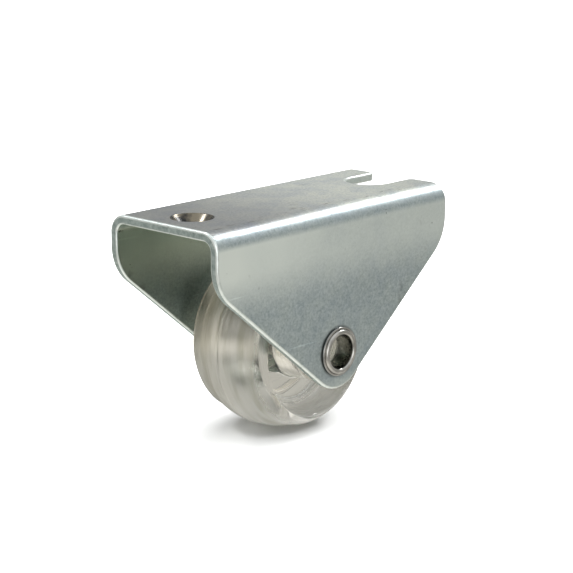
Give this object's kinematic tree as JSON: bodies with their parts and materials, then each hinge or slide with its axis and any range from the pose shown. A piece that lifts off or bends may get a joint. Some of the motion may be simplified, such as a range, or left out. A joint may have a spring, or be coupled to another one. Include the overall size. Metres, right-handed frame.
{
  "type": "sliding door roller",
  "caption": "Folded zinc plated bracket with triangular side ears carrying a clear plastic door wheel on short eyelets; countersunk hole and open slot on top.",
  "frame": {"origin": "middle of the flat mounting face on top of the bracket", "axes": "+Z out of the mounting face, towards the door; +X towards the end with the open slot; the wheel's axle is parallel to Y"},
  "size_m": [0.0556, 0.0256, 0.0389],
  "materials": {
    "zinc_plated_steel": "bright zinc plating, fine grain",
    "eyelet_steel": "plated, drawn and rolled",
    "clear_plastic": "clear moulded plastic, polished"
  },
  "bodies": {
    "frame": {"bracket": "zinc_plated_steel", "eyelet_right": "eyelet_steel", "eyelet_left": "eyelet_steel"},
    "wheel": {"wheel": "clear_plastic"}
  },
  "joints": [
    {"name": "wheel_spin", "type": "hinge", "parent": "frame", "child": "wheel", "pos_m": [0, 0, -0.0239], "axis": [0, 1, 0], "continuous": true}
  ]
}
